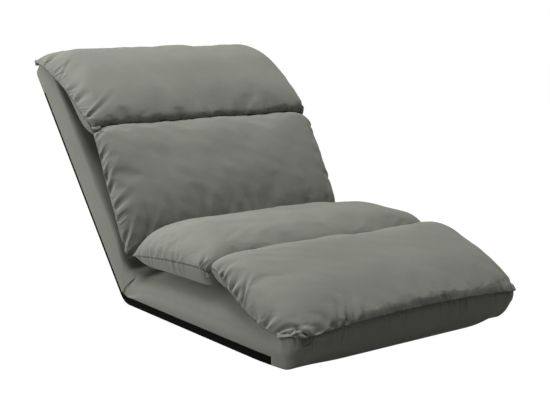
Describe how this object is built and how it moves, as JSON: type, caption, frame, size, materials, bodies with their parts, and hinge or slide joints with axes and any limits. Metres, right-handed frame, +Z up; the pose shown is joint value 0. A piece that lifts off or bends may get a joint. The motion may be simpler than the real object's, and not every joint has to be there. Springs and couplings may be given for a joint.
{
  "type": "folding floor chair",
  "caption": "Padded floor chair: seat and reclining back on tube frames with ratchet hinges, topped by loose-filled seat, back and head cushions in suede cloth.",
  "frame": {"origin": "on the floor, on the seat pad's underside and its middle line, 320 mm in front of the hinge axis", "axes": "+X to the viewer's right, -Y to the front where the legs go, +Z up"},
  "size_m": [0.688, 1.1845, 0.6266],
  "materials": {
    "suede": "matte",
    "black_cloth": "matte",
    "foam": "matte",
    "webbing": "matte",
    "tube_paint": "satin",
    "zinc": "satin",
    "spring_steel": "satin"
  },
  "bodies": {
    "seat": {"seat_cover": "suede", "seat_bottom_cloth": "black_cloth", "seat_upper_foam": "foam", "seat_lower_foam": "foam", "seat_webbing": "webbing", "seat_rear_cushion": "suede", "seat_front_cushion": "suede", "bend_top_cover": "suede", "bend_bottom_cloth": "black_cloth", "left_bend_gusset": "suede", "right_bend_gusset": "suede", "seat_tube_frame": "tube_paint", "seat_cross_tube": "tube_paint", "left_outer_hinge_plate": "zinc", "left_inner_hinge_plate": "zinc", "left_pivot_rivet": "zinc", "left_pawl_pin": "zinc", "left_spring_pin": "zinc", "left_leaf_spring": "spring_steel", "left_seat_rail_rivets": "zinc", "right_outer_hinge_plate": "zinc", "right_inner_hinge_plate": "zinc", "right_pivot_rivet": "zinc", "right_pawl_pin": "zinc", "right_spring_pin": "zinc", "right_leaf_spring": "spring_steel", "right_seat_rail_rivets": "zinc"},
    "back": {"back_cover": "suede", "back_bottom_cloth": "black_cloth", "back_upper_foam": "foam", "back_lower_foam": "foam", "back_webbing": "webbing", "back_cushion": "suede", "head_cushion": "suede", "back_tube_frame": "tube_paint", "back_cross_tubes": "tube_paint", "left_ratchet_wheel": "zinc", "left_back_rail_rivets": "zinc", "right_ratchet_wheel": "zinc", "right_back_rail_rivets": "zinc"},
    "left_pawl": {"left_pawl": "zinc"},
    "right_pawl": {"right_pawl": "zinc"}
  },
  "joints": [
    {"name": "recline", "type": "hinge", "parent": "seat", "child": "back", "pos_m": [0, 0.32, 0.055], "axis": [-1, 0, 0], "range_deg": [-83.33, 50], "deforming": ["seat_rear_cushion", "back_cushion", "bend_top_cover", "bend_bottom_cloth", "left_bend_gusset", "right_bend_gusset"]},
    {"name": "left_pawl_lift", "type": "hinge", "parent": "seat", "child": "left_pawl", "pos_m": [-0.29, 0.28713, 0.05212], "axis": [-1, 0, 0], "range_deg": [0, 14], "stiffness_Nm_per_rad": 0.02, "springref_deg": -28.65, "deforming": ["left_leaf_spring"]},
    {"name": "right_pawl_lift", "type": "hinge", "parent": "seat", "child": "right_pawl", "pos_m": [0.29, 0.28713, 0.05212], "axis": [-1, 0, 0], "range_deg": [0, 14], "stiffness_Nm_per_rad": 0.02, "springref_deg": -28.65, "deforming": ["right_leaf_spring"]}
  ]
}
